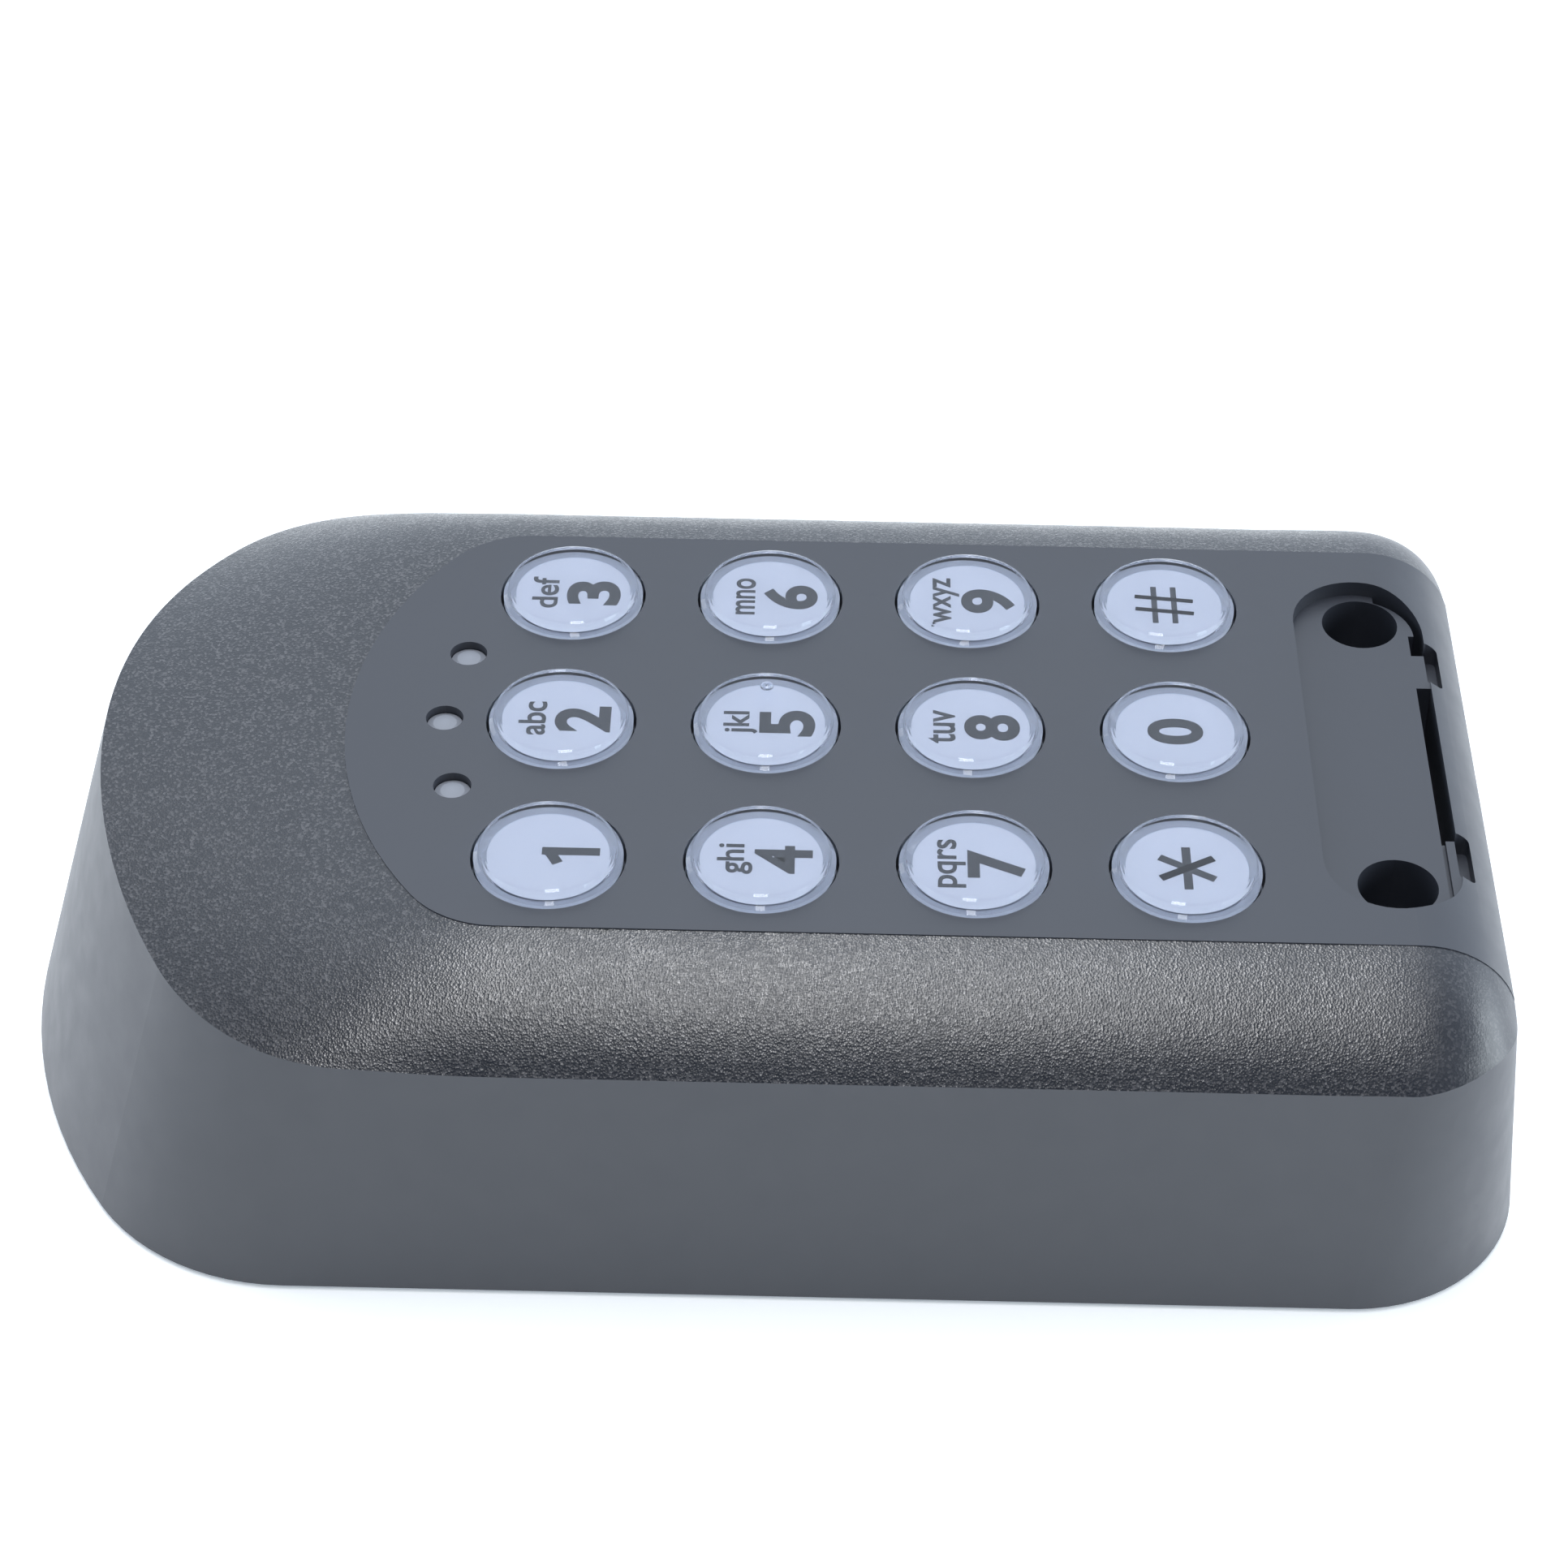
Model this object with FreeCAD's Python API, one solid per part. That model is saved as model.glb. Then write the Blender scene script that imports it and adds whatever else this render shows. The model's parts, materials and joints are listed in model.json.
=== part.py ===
"""Alarm keypad panel: a round-ended wall housing with twelve clear push keys and three indicator lights.

Millimetres. The housing lies on its back: +Z points out of the key face, +Y towards the rounded
end with the indicator lights, and z = 0 is the back face that rests on the wall.
"""

import FreeCAD, Part

import math
import os

Vector = FreeCAD.Vector

# ---------------------------------------------------------------- driving dimensions
PANEL_Z = 32.8  # key panel above the back face
KEY_PITCH = 19.0  # both ways between key centres
KEY_PROUD = 1.3  # key caps above the panel
KEYPAD_Y = -9.55  # centre of the key grid, below the middle of the housing

# Housing outline at the back face and at the panel: (tip y, end y, half width, tip arc radius,
# radius of the two tip corners, radius of the two end corners). The end corners sharpen upwards.
BASE = (70.25, -70.25, 41.6, 57.0, 21.5, 16.4)
TOP = (61.15, -66.15, 39.6, 52.5, 22.1, 8.5)
END_FLAT_Y = -58.0  # the panel starts to roll down to the square end here
END_ROUND = 9.5
END_SLOPE = 76.0  # degrees, where the roll meets the end wall

# Smooth key panel, and the shoulder that falls away from it
PANEL_TIP_Y = 38.9
PANEL_TIP_R = 40.8
PANEL_CORNER_R = 9.5
PANEL_HALF = 28.25
PANEL_STEP = 0.12  # the panel stands this far above the textured shoulder
SIDE_DROP = 6.85  # fall of the shoulder along the long sides
TIP_DROP = 0.1  # fall of the shoulder on the centre line of the rounded end
FAN_Y = 20.0  # the shoulder fans out from here around the rounded end
FAN_START = 4.0  # degrees of the fan before the fall starts to lessen

WALL = 2.4
SKIN = 2.4  # thickness under the key panel
GAP = 0.25  # clearance between assembled pieces

# Keys
KEY_HOLE_R = 7.0
CAP_TOP_R = 6.25
CAP_BASE_R = 6.72
CORE_R = 5.5
CORE_FLANGE_R = 7.8  # wider than the key's hole, so that the key stays in
CAP_ROOF = 1.45  # clear thickness over the white core
STEM_R = 3.0
STEM_Z = 25.5

# Indicator lights, on an arc with the panel's own tip centre
LED_ARC_R = 31.7
LED_X = 9.6
LED_HOLE_R = 1.75
LED_LENS_R = 1.68
LED_SUNK = 0.5

# Fixing recess at the square end
RECESS_Y = -56.65
RECESS_HALF_LENGTH = 23.5
RECESS_HALF_WIDTH = 6.3
RECESS_DEPTH = 1.6
NOTCH_Z = 28.8  # floor of the two notches in the recess edge
WELL_X = 18.9
WELL_Y = -57.05
WELL_R = 3.63
WELL_FLOOR_Z = 14.0
BOSS_TOP_Z = 11.2
SCREW_R = 1.5

# Inside
BACK = 2.4  # thickness of the rear plate
BOARD_Z = 20.0
BOARD_T = 1.6
BOARD = (-33.0, 33.0, -47.5, 34.0)  # x0, x1, y0, y1
MAT_T = 1.2
POST_X = 29.5
POST_Y = (-44.0, 22.0)
CELL_R = 7.1
CELL_LENGTH = 50.0
CELL_PITCH = 15.6
CELL_Y = -12.0  # middle cell
WALL_HOLE_X = 20.0  # half of the wall-screw spacing across
WALL_HOLE_Y = (-42.0, 28.0)
WALL_HOLE_R = 2.2
TAMPER = (-22.0, 45.0)
TAMPER_TRAVEL = 1.5

KEY_TOP_Z = PANEL_Z + KEY_PROUD
BOARD_TOP = BOARD_Z + BOARD_T
MAT_TOP = BOARD_TOP + MAT_T
SHOULDER_Z = PANEL_Z - PANEL_STEP
CAP_FOOT_Z = PANEL_Z - 0.45
COLUMNS = (-KEY_PITCH, 0.0, KEY_PITCH)
ROWS = tuple(KEYPAD_Y + KEY_PITCH * k for k in (1.5, 0.5, -0.5, -1.5))
KEY_NAMES = (("1", "2", "3"), ("4", "5", "6"), ("7", "8", "9"), ("star", "0", "hash"))


# ---------------------------------------------------------------- helpers
def tube(x, y, z0, z1, r):
    """Upright cylinder."""
    return Part.makeCylinder(r, z1 - z0, Vector(x, y, z0))


def block(x0, x1, y0, y1, z0, z1):
    return Part.makeBox(x1 - x0, y1 - y0, z1 - z0, Vector(x0, y0, z0))


def rounded_block(x0, x1, y0, y1, z0, z1, r):
    """Block with rounded upright edges."""
    solid = block(x0, x1, y0, y1, z0, z1)
    upright = [e for e in solid.Edges if abs(e.tangentAt(e.FirstParameter).z) > 0.9]
    return solid.makeFillet(r, upright)


def turned(x, y, profile):
    """Solid of revolution about the upright axis at (x, y); profile holds (radius, z)."""
    points = [Vector(r, 0, z) for r, z in profile]
    face = Part.Face(Part.makePolygon(points + points[:1]))
    solid = face.revolve(Vector(0, 0, 0), Vector(0, 0, 1), 360)
    solid.translate(Vector(x, y, 0))
    return solid


def join(pieces):
    whole = pieces[0]
    for piece in pieces[1:]:
        whole = whole.fuse(piece)
    return whole.removeSplitter()


def on_circle(cx, cy, r, angle):
    return Vector(cx + r * math.cos(angle), cy + r * math.sin(angle), 0)


def arc(cx, cy, r, start, end):
    middle = 0.5 * (start + end)
    points = [on_circle(cx, cy, r, a) for a in (start, middle, end)]
    return Part.Arc(*points).toShape()


def line(a, b):
    return Part.LineSegment(a, b).toShape()


def tip_arcs(tip_y, half, tip_r, corner_r):
    """Centres and joining angle of a tip arc and the corner arcs that blend it into the sides."""
    centre_y = tip_y - tip_r
    corner_x = half - corner_r
    corner_y = centre_y + math.sqrt((tip_r - corner_r) ** 2 - corner_x**2)
    angle = math.atan2(corner_y - centre_y, corner_x)
    return centre_y, corner_x, corner_y, angle


def outline(shape, inset=0.0, z=0.0):
    """Closed wire: tip arc, tip corners, straight sides, end corners and square end."""
    tip_y, end_y, half, tip_r, corner_r, end_r = shape
    tip_y, half, tip_r, corner_r = (v - inset for v in (tip_y, half, tip_r, corner_r))
    end_y += inset
    end_r = max(end_r - inset, 1.0)
    centre_y, corner_x, corner_y, angle = tip_arcs(tip_y, half, tip_r, corner_r)
    quarter = 0.5 * math.pi
    edges = [
        arc(0, centre_y, tip_r, angle, math.pi - angle),
        arc(-corner_x, corner_y, corner_r, math.pi - angle, math.pi),
        line(Vector(-half, corner_y, 0), Vector(-half, end_y + end_r, 0)),
        arc(end_r - half, end_y + end_r, end_r, math.pi, math.pi + quarter),
        line(Vector(end_r - half, end_y, 0), Vector(half - end_r, end_y, 0)),
        arc(half - end_r, end_y + end_r, end_r, -quarter, 0),
        line(Vector(half, end_y + end_r, 0), Vector(half, corner_y, 0)),
        arc(corner_x, corner_y, corner_r, 0, angle),
    ]
    wire = Part.Wire(edges)
    wire.translate(Vector(0, 0, z))
    return wire


def prism(wire, height):
    return Part.Face(wire).extrude(Vector(0, 0, height))


def outline_at(z):
    """Housing outline at height z, between the two driving outlines."""
    t = z / PANEL_Z
    return tuple(b + (a - b) * t for b, a in zip(BASE, TOP))


def tapered(inset, z0, z1):
    """Solid that follows the housing's drafted wall from z0 to z1, inset from its outside."""
    return Part.makeLoft([outline(outline_at(z), inset, z) for z in (z0, z1)], True, True)


def stadium(y, half_length, half_width, z0, z1):
    """Slot-shaped prism with its long way along X."""
    straight = half_length - half_width
    middle = block(-straight, straight, y - half_width, y + half_width, z0, z1)
    ends = [tube(s * straight, y, z0, z1, half_width) for s in (-1, 1)]
    return join([middle] + ends)


# ---------------------------------------------------------------- key panel and shoulder
def panel_wire(z):
    """Edge of the smooth panel, run straight out past the square end."""
    centre_y, corner_x, corner_y, angle = tip_arcs(
        PANEL_TIP_Y, PANEL_HALF, PANEL_TIP_R, PANEL_CORNER_R
    )
    past = BASE[1] - 10.0
    edges = [
        arc(0, centre_y, PANEL_TIP_R, angle, math.pi - angle),
        arc(-corner_x, corner_y, PANEL_CORNER_R, math.pi - angle, math.pi),
        line(Vector(-PANEL_HALF, corner_y, 0), Vector(-PANEL_HALF, past, 0)),
        line(Vector(-PANEL_HALF, past, 0), Vector(PANEL_HALF, past, 0)),
        line(Vector(PANEL_HALF, past, 0), Vector(PANEL_HALF, corner_y, 0)),
        arc(corner_x, corner_y, PANEL_CORNER_R, 0, angle),
    ]
    wire = Part.Wire(edges)
    wire.translate(Vector(0, 0, z))
    return wire


def on_end_roll(degrees):
    """(y, drop below the panel) on the rolled square end, at that slope."""
    angle = math.radians(degrees)
    return END_FLAT_Y - END_ROUND * math.sin(angle), END_ROUND * (1 - math.cos(angle))


def end_roll_cutter():
    """Everything above the rolled top of the square end."""
    (y1, d1), (y2, d2) = on_end_roll(END_SLOPE / 2), on_end_roll(END_SLOPE)
    start, middle, end = [
        Vector(-60, y, PANEL_Z - d) for y, d in ((END_FLAT_Y, 0.0), (y1, d1), (y2, d2))
    ]
    beyond = end + Vector(0, -8.0, -8.0 * math.tan(math.radians(END_SLOPE)))
    high = Vector(-60, beyond.y, PANEL_Z + 10)
    over = Vector(-60, END_FLAT_Y, PANEL_Z + 10)
    edges = [Part.Arc(start, middle, end).toShape()]
    edges += [line(a, b) for a, b in ((end, beyond), (beyond, high), (high, over), (over, start))]
    return Part.Face(Part.Wire(edges)).extrude(Vector(120, 0, 0))


def reach_of(shape, origin_y, angle):
    """Distance from (0, origin_y) to a round-ended outline, in direction angle (0 is +X)."""
    tip_y, half, tip_r, corner_r = shape
    centre_y, corner_x, corner_y, _ = tip_arcs(tip_y, half, tip_r, corner_r)
    dx, dy = math.cos(angle), math.sin(angle)

    def to_circle(cx, cy, r):
        ox, oy = -cx, origin_y - cy
        b = ox * dx + oy * dy
        inside = b * b - (ox * ox + oy * oy - r * r)
        return -b + math.sqrt(inside) if inside > 0 else None

    side = math.copysign(1.0, dx)
    straight = half / abs(dx) if abs(dx) > 1e-6 else None
    if straight and origin_y + straight * dy <= corner_y:
        return straight
    corner = to_circle(side * corner_x, corner_y, corner_r)
    if corner:
        x, y = corner * dx, origin_y + corner * dy
        at = math.atan2(y - centre_y, abs(x))
        join_angle = math.atan2(corner_y - centre_y, corner_x)
        if at <= join_angle + 1e-6:
            return corner
    return to_circle(0, centre_y, tip_r)


def shoulder_fall(s):
    """Share of the fall at s, 0 at the panel edge and 1 at the rim: gentle, then rolling over."""
    gentle, power = 0.35, 2.65
    if s <= 0:
        return gentle * s
    if s <= 1:
        return gentle * s + (1 - gentle) * s**power
    return 1 + (s - 1) * (gentle + (1 - gentle) * power)


def shoulder_row(inner, outer, drop, lowered=0.0):
    """Points of the shoulder from just inside the panel edge to outside the rim."""
    run = (outer - inner).Length
    steps = [-1.5 / run, 0, 0.15, 0.3, 0.45, 0.6, 0.75, 0.88, 1.0, 1 + 1.5 / run, 1 + 3.5 / run]
    row = []
    for s in steps:
        place = inner + (outer - inner) * s
        z = SHOULDER_Z - lowered - drop * shoulder_fall(s)
        row.append(Vector(place.x, place.y, z))
    return row


def shoulder_cutter():
    """Everything above the textured shoulder."""
    half = outline_at(PANEL_Z - SIDE_DROP)[2]
    across = Vector(half - PANEL_HALF, 0, 0)
    end_y, end_drop = on_end_roll(END_SLOPE)
    steep = math.tan(math.radians(END_SLOPE))
    stations = [(end_y - run, end_drop + run * steep) for run in (1.8, 0.9)]
    stations += [on_end_roll(END_SLOPE * k / 8) for k in range(8, -1, -1)]
    stations += [(y, 0.0) for y in (-52.0, -42.0, -25.0, -8.0, 8.0)]
    rows = []
    for y, lowered in stations:
        inner = Vector(PANEL_HALF, y, 0)
        rows.append(shoulder_row(inner, inner + across, SIDE_DROP, lowered))
    panel_tip = (PANEL_TIP_Y, PANEL_HALF, PANEL_TIP_R, PANEL_CORNER_R)
    rim_tip = (TOP[0], half, TOP[3], TOP[4])
    for degrees in [7.5 * k for k in range(13)]:
        angle = math.radians(degrees)
        inner = on_circle(0, FAN_Y, reach_of(panel_tip, FAN_Y, angle), angle)
        outer = on_circle(0, FAN_Y, reach_of(rim_tip, FAN_Y, angle), angle)
        turned_by = max(degrees - FAN_START, 0.0) / (90.0 - FAN_START)
        share = math.cos(0.5 * math.pi * turned_by) ** 2
        rows.append(shoulder_row(inner, outer, TIP_DROP + (SIDE_DROP - TIP_DROP) * share))
    mirrored = [[Vector(-p.x, p.y, p.z) for p in row] for row in rows[:-1]]
    surface = Part.BSplineSurface()
    surface.interpolate(rows + mirrored[::-1])
    return surface.toShape().extrude(Vector(0, 0, 30))


# ---------------------------------------------------------------- housing
def recess_cutter():
    """Recess for the fixings, with the slots and notches that a strip cover snaps into."""
    floor_z = PANEL_Z - RECESS_DEPTH
    slot_z = floor_z - 8
    edge_y = RECESS_Y - RECESS_HALF_WIDTH
    slot_width = 1.4
    end_x = RECESS_HALF_LENGTH - RECESS_HALF_WIDTH
    pocket = stadium(RECESS_Y, RECESS_HALF_LENGTH, RECESS_HALF_WIDTH, floor_z, PANEL_Z + 5)
    slots = [(-12.6, 9.3), (14.2, end_x)]
    cuts = [block(a, b, edge_y, edge_y + slot_width, slot_z, PANEL_Z) for a, b in slots]
    outer = tube(end_x, RECESS_Y, slot_z, PANEL_Z, RECESS_HALF_WIDTH)
    end_slot = outer.cut(tube(end_x, RECESS_Y, slot_z - 1, PANEL_Z + 1, RECESS_HALF_WIDTH - 0.85))
    cuts.append(end_slot.common(block(end_x, 40, edge_y, RECESS_Y - 2.0, slot_z, PANEL_Z)))
    for a, b in ((-17.6, -11.6), (10.0, 16.0)):
        cuts.append(rounded_block(a, b, edge_y - 1.3, edge_y + 0.2, NOTCH_Z, PANEL_Z + 5, 0.5))
    cuts.append(block(-20.6, -12.6, edge_y + 1.0, edge_y + slot_width, floor_z - 0.5, PANEL_Z))
    cuts += [tube(s * WELL_X, WELL_Y, WELL_FLOOR_Z, PANEL_Z, WELL_R) for s in (-1, 1)]
    return join([pocket] + cuts)


def led_places():
    centre_y = PANEL_TIP_Y - PANEL_TIP_R
    side_y = centre_y + math.sqrt(LED_ARC_R**2 - LED_X**2)
    return [(-LED_X, side_y), (0.0, centre_y + LED_ARC_R), (LED_X, side_y)]


def cavity():
    """Hollow of the housing: three steps that follow the shoulder from inside."""
    low_z = 22.4
    mid_z = 26.6
    inner_top = outline_at(low_z)
    low = tapered(WALL, -1.0, low_z)
    middle = prism(outline(inner_top, 6.8, low_z - 1), mid_z - low_z + 1)
    tip = (PANEL_TIP_Y + 2.0, TOP[1] + 4.0, 27.0, 39.0, 9.0, 9.0)
    high = prism(outline(tip, 0, mid_z - 1), PANEL_Z - SKIN - mid_z + 1)
    return low.fuse(middle).fuse(high)


def front_cover():
    body = tapered(0.0, 0.0, PANEL_Z)
    body = body.cut(end_roll_cutter())
    panel = prism(panel_wire(-1.0), 60)
    shoulder = body.cut(panel).cut(shoulder_cutter())
    body = body.common(panel).fuse(shoulder).removeSplitter()
    body = body.cut(cavity())
    bosses = [tube(s * WELL_X, WELL_Y, BOSS_TOP_Z, PANEL_Z - 2, WELL_R + 1.5) for s in (-1, 1)]
    floor_z = PANEL_Z - RECESS_DEPTH
    under_recess = stadium(RECESS_Y, 25.6, 8.2, floor_z - 2.2, floor_z - 0.6)
    inside = prism(outline(outline_at(PANEL_Z), WALL, 5), 30)
    body = join([body, under_recess.common(inside)] + bosses)
    body = body.cut(recess_cutter())
    holes = [tube(x, y, 20, 40, KEY_HOLE_R) for y in ROWS for x in COLUMNS]
    holes += [tube(x, y, 20, 40, LED_HOLE_R) for x, y in led_places()]
    holes += [tube(s * WELL_X, WELL_Y, 5, 20, SCREW_R + 0.25) for s in (-1, 1)]
    lift = block(-50, 50, -80, 80, -5, 0.3)
    for hole in holes + [lift]:
        body = body.cut(hole)
    return body


def rear_plate():
    plate = tapered(WALL + GAP, 0.0, BACK)
    lip = tapered(WALL + 3.4, BACK, BACK + 1.6).cut(tapered(WALL + 5.0, BACK - 1, BACK + 3))
    posts = [tube(s * POST_X, y, BACK, BOARD_Z, 3.0) for s in (-1, 1) for y in POST_Y]
    bosses = [tube(s * WELL_X, WELL_Y, BACK, BOSS_TOP_Z - 0.1, 4.0) for s in (-1, 1)]
    plate = join([plate, lip] + posts + bosses)
    holes = [tube(s * POST_X, y, BACK, BOARD_Z + 1, 1.1) for s in (-1, 1) for y in POST_Y]
    holes += [tube(s * WELL_X, WELL_Y, 1.2, 20, SCREW_R + 0.05) for s in (-1, 1)]
    holes += [tube(s * WALL_HOLE_X, y, -1, 6, WALL_HOLE_R) for s in (-1, 1) for y in WALL_HOLE_Y]
    holes.append(tube(*TAMPER, -1, 6, 2.3))
    for hole in holes:
        plate = plate.cut(hole)
    return plate


def cover_seal():
    """Rubber cord around the rear plate, outside its lip."""
    return tapered(WALL + 0.3, BACK, BACK + 1.4).cut(tapered(WALL + 3.2, BACK - 1, BACK + 3))


# ---------------------------------------------------------------- keys
def key_cap(x, y):
    """Clear cap: thick roof and a straight-sided bore for the core, standing on its flange."""
    roof_z = KEY_TOP_Z - CAP_ROOF
    edge = 0.4
    profile = [
        (0, KEY_TOP_Z),
        (CAP_TOP_R - edge, KEY_TOP_Z),
        (CAP_TOP_R - 0.12, KEY_TOP_Z - 0.12),
        (CAP_TOP_R, KEY_TOP_Z - edge),
        (CAP_TOP_R + 0.12, PANEL_Z + 0.35),
        (CAP_BASE_R, PANEL_Z + 0.1),
        (CAP_BASE_R, CAP_FOOT_Z),
        (CORE_R + 0.05, CAP_FOOT_Z),
        (CORE_R + 0.05, roof_z),
        (0, roof_z),
    ]
    return turned(x, y, profile)


def key_core(x, y):
    """White insert: legend disc, retaining flange, and a stem down to the rubber dome."""
    top = KEY_TOP_Z - CAP_ROOF - 0.03
    disc_under = top - 1.6
    flange_z = PANEL_Z - SKIN - 0.1
    profile = [
        (0, top),
        (CORE_R, top),
        (CORE_R, CAP_FOOT_Z - 0.02),
        (CAP_BASE_R, CAP_FOOT_Z - 0.02),
        (CAP_BASE_R, flange_z),
        (CORE_FLANGE_R, flange_z),
        (CORE_FLANGE_R, flange_z - 1.2),
        (CORE_R - 1.0, flange_z - 1.2),
        (CORE_R - 1.0, disc_under),
        (STEM_R, disc_under),
        (STEM_R, STEM_Z),
        (0, STEM_Z),
    ]
    return turned(x, y, profile)


# ---------------------------------------------------------------- inside
def keypad_mat():
    """Silicone sheet with one dome under each key."""
    margin = 7.0
    x1 = COLUMNS[2] + margin
    sheet = rounded_block(
        -x1, x1, ROWS[3] - margin, ROWS[0] + margin, BOARD_TOP + 0.02, MAT_TOP, 4.0
    )
    dome_top = STEM_Z - 0.05
    domes = []
    for y in ROWS:
        for x in COLUMNS:
            profile = [
                (0, dome_top),
                (2.4, dome_top),
                (2.7, dome_top - 0.5),
                (4.6, MAT_TOP - 0.1),
                (4.0, MAT_TOP - 0.1),
                (2.0, dome_top - 1.2),
                (0, dome_top - 1.2),
            ]
            sheet = sheet.cut(tube(x, y, BOARD_TOP - 1, MAT_TOP + 1, 4.0))
            domes.append(turned(x, y, profile))
    return join([sheet] + domes)


def pcb():
    x0, x1, y0, y1 = BOARD
    board = rounded_block(x0, x1, y0, y1, BOARD_Z, BOARD_TOP, 3.0)
    for y in POST_Y:
        for x in (-POST_X, POST_X):
            board = board.cut(tube(x, y, BOARD_Z - 1, BOARD_TOP + 1, 1.25))
    return board


def contact_pads():
    pads = []
    for y in ROWS:
        for x in COLUMNS:
            disc = tube(x, y, BOARD_TOP, BOARD_TOP + 0.05, 2.6)
            pads.append(disc.cut(block(x - 0.15, x + 0.15, y - 4, y + 4, BOARD_TOP - 1, BOARD_TOP + 1)))
    return Part.makeCompound([s for pad in pads for s in pad.Solids])


def status_leds():
    """Three indicator emitters on the board, under the light guides."""
    bodies = []
    for x, y in led_places():
        bodies.append(turned(x, y, [(0, BOARD_TOP), (1.4, BOARD_TOP), (1.4, 23.4), (1.0, 24.2), (0, 24.4)]))
    return Part.makeCompound(bodies)


def led_lenses():
    """Three light guides that carry the light up to the panel."""
    top = PANEL_Z - LED_SUNK
    under = PANEL_Z - SKIN - 0.05
    guides = []
    for x, y in led_places():
        profile = [
            (0, top),
            (1.1, top - 0.08),
            (LED_LENS_R, top - 0.35),
            (LED_LENS_R, under),
            (2.6, under),
            (2.6, under - 1.0),
            (LED_LENS_R, under - 1.0),
            (1.3, 24.6),
            (0, 24.6),
        ]
        guides.append(turned(x, y, profile))
    return Part.makeCompound(guides)


def backlight_leds():
    """Small emitters beside the mat, at the heights between the rows of keys."""
    spots = [(s * 28.4, y + 0.5 * KEY_PITCH) for y in ROWS[1:] for s in (-1, 1)]
    return Part.makeCompound(
        [block(x - 1, x + 1, y - 0.7, y + 0.7, BOARD_TOP, BOARD_TOP + 0.9) for x, y in spots]
    )


def chip(x, y, half_x, half_y, height, legs):
    """Board component hanging under the board, with a row of legs along both long sides."""
    top = BOARD_Z - 0.25
    body = block(x - half_x, x + half_x, y - half_y, y + half_y, top - height, top)
    pieces = [body]
    step = 2 * half_x / (legs + 1)
    for k in range(legs):
        lx = x - half_x + step * (k + 1)
        for s in (-1, 1):
            y0, y1 = sorted((y + s * (half_y - 0.2), y + s * (half_y + 1.0)))
            pieces.append(block(lx - 0.2, lx + 0.2, y0, y1, top - 0.2, BOARD_Z))
    return join(pieces)


def radio_module():
    """Small daughter board with a metal can."""
    board = block(-30, -10, 25.5, 33.5, BOARD_Z - 1.2, BOARD_Z)
    can = block(-28.5, -15.0, 26.2, 32.8, BOARD_Z - 3.4, BOARD_Z - 1.2)
    return join([board, can])


def antenna():
    """Wire aerial that stands off the radio and follows the rounded end."""
    z = BOARD_Z - 2.0
    start = Vector(-12.0, 33.55, z)
    corner = Vector(-12.0, 46.0, z)
    end = Vector(16.0, 52.0, z)
    bend = 4.0
    into = (start - corner).normalize()
    away = (end - corner).normalize()
    half_turn = 0.5 * into.getAngle(away)
    back = bend / math.tan(half_turn)
    a = corner + into * back
    b = corner + away * back
    towards = (into + away).normalize()
    middle = corner + towards * (bend / math.sin(half_turn) - bend)
    path = Part.Wire([line(start, a), Part.Arc(a, middle, b).toShape(), line(b, end)])
    profile = Part.Wire(Part.Circle(start, Vector(0, 1, 0), 0.5).toShape())
    return path.makePipeShell([profile], True, False)


def buzzer():
    z1 = BOARD_Z
    case = tube(12, 26.5, z1 - 7.5, z1, 7.0)
    return case.cut(tube(12, 26.5, z1 - 8, z1 - 6.5, 1.0))


def capacitor():
    return tube(0, 18.0, BOARD_Z - 10.5, BOARD_Z, 3.2)


def cell_rows():
    return [CELL_Y + CELL_PITCH * k for k in (-1, 0, 1)]


def battery_holder():
    """Open tray with end walls and cradles for three cells."""
    half = CELL_LENGTH / 2 + 3.2
    y0 = CELL_Y - 1.5 * CELL_PITCH - 1.2
    y1 = CELL_Y + 1.5 * CELL_PITCH + 1.2
    tray = block(-half, half, y0, y1, BACK + 0.05, 15.0)
    tray = tray.cut(block(-half + 1.4, half - 1.4, y0 + 1.2, y1 - 1.2, 9.0, 20))
    for y in cell_rows():
        trough = Part.makeCylinder(
            CELL_R + 0.15, 2 * half - 2.8, Vector(-half + 1.4, y, 10.8), Vector(1, 0, 0)
        )
        tray = tray.cut(trough)
    return tray


def battery_cells():
    cells = []
    for k, y in enumerate(cell_rows()):
        way = 1 if k % 2 == 0 else -1
        can_start = -CELL_LENGTH / 2 * way
        can = Part.makeCylinder(
            CELL_R, CELL_LENGTH - 1.4, Vector(can_start, y, 10.8), Vector(way, 0, 0)
        )
        nub = Part.makeCylinder(
            2.6, 1.4, Vector(can_start + way * (CELL_LENGTH - 1.4), y, 10.8), Vector(way, 0, 0)
        )
        cells.append(can.fuse(nub).removeSplitter())
    return Part.makeCompound(cells)


def battery_contacts():
    """Sprung end plates of the cell holder."""
    half = CELL_LENGTH / 2 + 1.75
    plates = []
    for y in cell_rows():
        for s in (-1, 1):
            x0, x1 = sorted((s * (half - 0.4), s * half))
            plates.append(block(x0, x1, y - 4, y + 4, 6.5, 14.8))
    return Part.makeCompound(plates)


def screw(x, y, seat_z, head_r, head_h, shank_r, length):
    """Pan-head cross-recess screw, driven from above."""
    profile = [
        (0, seat_z + head_h),
        (head_r * 0.6, seat_z + head_h),
        (head_r, seat_z + head_h * 0.45),
        (head_r, seat_z),
        (shank_r, seat_z),
        (shank_r, seat_z - length + 1.0),
        (0, seat_z - length),
    ]
    body = turned(x, y, profile)
    top = seat_z + head_h
    arm, slot = head_r * 0.55, head_r * 0.11
    cross = block(x - arm, x + arm, y - slot, y + slot, top - 0.9, top + 1)
    cross = cross.fuse(block(x - slot, x + slot, y - arm, y + arm, top - 0.9, top + 1))
    return body.cut(cross)


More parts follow.
